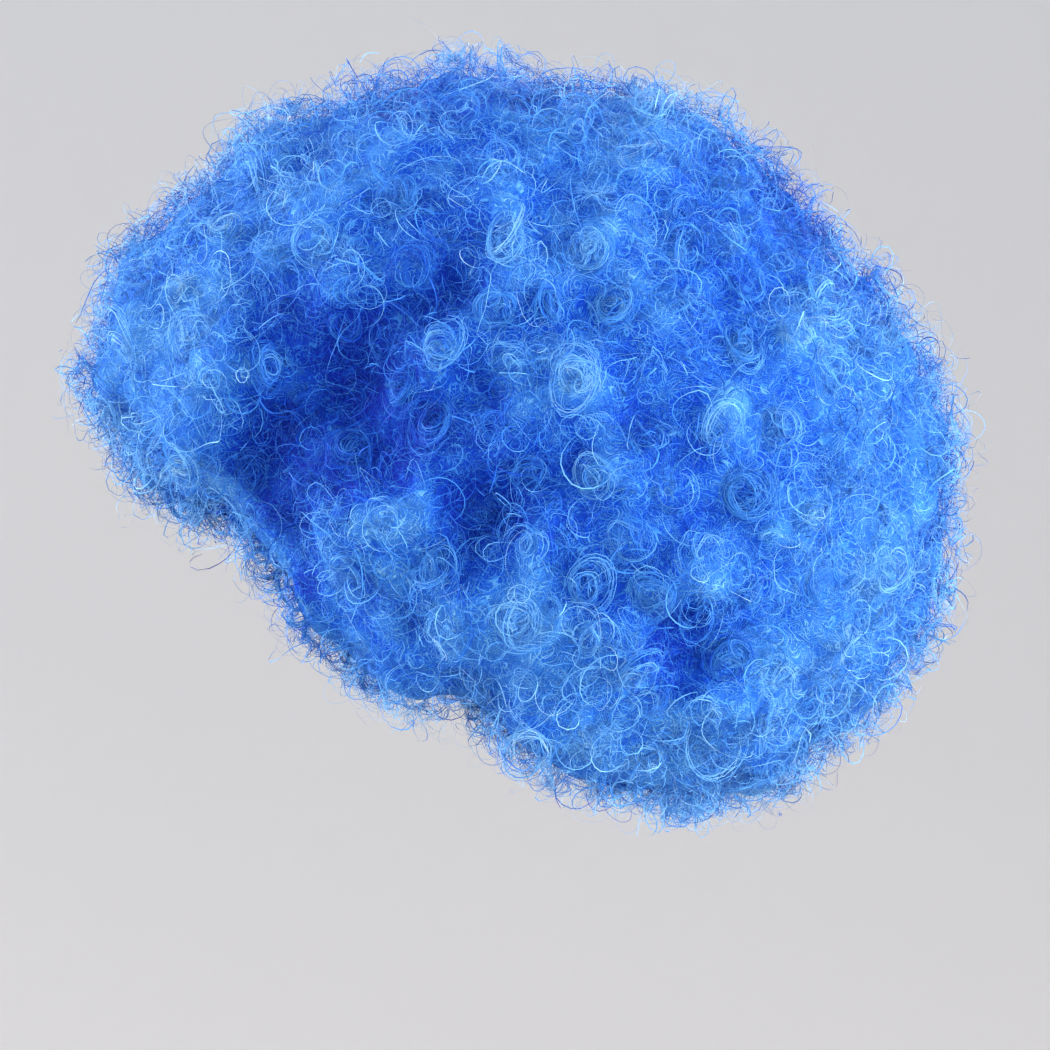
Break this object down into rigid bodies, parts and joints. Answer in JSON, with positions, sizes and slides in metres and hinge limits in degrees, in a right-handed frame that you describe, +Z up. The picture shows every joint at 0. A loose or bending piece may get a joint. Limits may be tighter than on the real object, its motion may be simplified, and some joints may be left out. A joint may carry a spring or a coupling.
{
  "type": "afro wig",
  "caption": "Round, deep afro wig of tight synthetic curls over a stretch net cap with an elastic edge band.",
  "frame": {"origin": "inside of the cap's crown, where the top of the head bears", "axes": "+Z up out of the crown, -Y towards the face, +X towards the wearer's left"},
  "size_m": [0.264, 0.3016, 0.2587],
  "materials": {
    "cap_net": "matt knitted stretch net, dyed dark blue",
    "elastic": "matt ribbed elastic, dyed dark blue",
    "hair_fibre": "tight curls of fine bright blue synthetic fibre with a soft sheen"
  },
  "bodies": {
    "root": {"cap": "cap_net", "edge_band": "elastic", "hair": "hair_fibre"}
  },
  "joints": []
}
